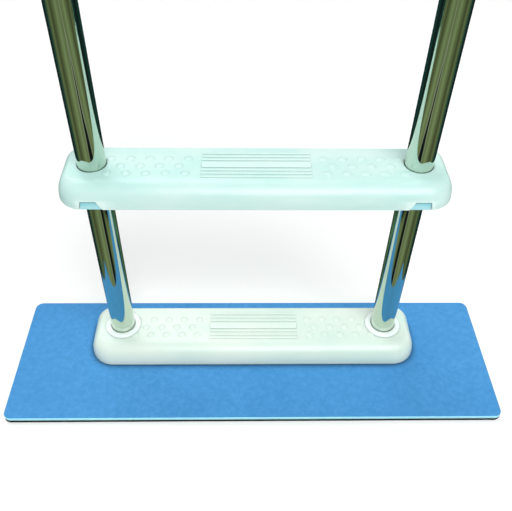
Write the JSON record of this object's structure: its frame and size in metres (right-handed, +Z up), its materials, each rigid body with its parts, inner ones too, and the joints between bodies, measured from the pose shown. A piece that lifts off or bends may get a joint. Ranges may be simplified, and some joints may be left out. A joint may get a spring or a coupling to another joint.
{
  "type": "pool ladder",
  "caption": "Pool ladder with polished tube rails, bent handrails on hinged deck flanges, white moulded non-slip treads and a blue protective floor mat.",
  "frame": {"origin": "on the pool floor, under the mat, midway between the two rail axes", "axes": "+Z up; +X to the climber's right as they face the ladder; +Y from the water towards the wall and deck"},
  "size_m": [0.766, 0.565, 1.9822],
  "materials": {
    "rail_steel": "mirror-polished stainless steel tube",
    "sleeve_steel": "plain stainless tube",
    "tread_plastic": "smooth moulded white plastic with a cool tint",
    "clamp_plastic": "moulded glass-filled plastic, pale aqua",
    "collar_plastic": "smooth moulded white plastic",
    "plug_plastic": "matt black plastic",
    "flange_steel": "satin cast stainless steel",
    "pin_steel": "satin stainless steel",
    "fastener_steel": "satin stainless steel",
    "gasket_rubber": "soft black rubber",
    "bush_plastic": "natural nylon",
    "mat_foam": "fine-textured blue closed-cell foam",
    "mat_backing": "matt black rubber"
  },
  "bodies": {
    "deck_mount": {"deck_flange_left": "flange_steel", "deck_flange_right": "flange_steel", "flange_gasket_left": "gasket_rubber", "flange_gasket_right": "gasket_rubber", "hinge_nut_left": "pin_steel", "hinge_nut_right": "pin_steel", "hinge_pin_left": "pin_steel", "hinge_pin_right": "pin_steel"},
    "ladder": {"foot_collar_left": "collar_plastic", "foot_collar_right": "collar_plastic", "foot_plug_left": "plug_plastic", "foot_plug_right": "plug_plastic", "handrail_left": "rail_steel", "handrail_right": "rail_steel", "hinge_bushes_left": "bush_plastic", "hinge_bushes_right": "bush_plastic", "lower_rail_left": "rail_steel", "lower_rail_right": "rail_steel", "rail_end_cap_left": "plug_plastic", "rail_end_cap_right": "plug_plastic", "rail_joint_bolts_left": "fastener_steel", "rail_joint_bolts_right": "fastener_steel", "rail_joint_nuts_left": "fastener_steel", "rail_joint_nuts_right": "fastener_steel", "rail_sleeve_left": "sleeve_steel", "rail_sleeve_right": "sleeve_steel", "tread_2": "tread_plastic", "tread_2_bolts": "fastener_steel", "tread_2_clamp_left": "clamp_plastic", "tread_2_clamp_right": "clamp_plastic", "tread_2_nuts": "fastener_steel", "tread_3": "tread_plastic", "tread_3_bolts": "fastener_steel", "tread_3_clamp_left": "clamp_plastic", "tread_3_clamp_right": "clamp_plastic", "tread_3_nuts": "fastener_steel", "tread_4": "tread_plastic", "tread_4_bolts": "fastener_steel", "tread_4_clamp_left": "clamp_plastic", "tread_4_clamp_right": "clamp_plastic", "tread_4_nuts": "fastener_steel", "tread_bottom": "tread_plastic", "tread_bottom_bolts": "fastener_steel", "tread_bottom_clamp_left": "clamp_plastic", "tread_bottom_clamp_right": "clamp_plastic", "tread_bottom_nuts": "fastener_steel"},
    "floor_mat": {"mat_backing": "mat_backing", "mat_foam": "mat_foam"}
  },
  "joints": [
    {"name": "ladder_swing", "type": "hinge", "parent": "deck_mount", "child": "ladder", "pos_m": [0, 0.36, 1.3962], "axis": [-1, 0, 0], "range_deg": [0, 90]},
    {"name": "mat_slide", "type": "slide", "parent": "deck_mount", "child": "floor_mat", "axis": [0, -1, 0], "range_m": [0, 0.25]}
  ]
}
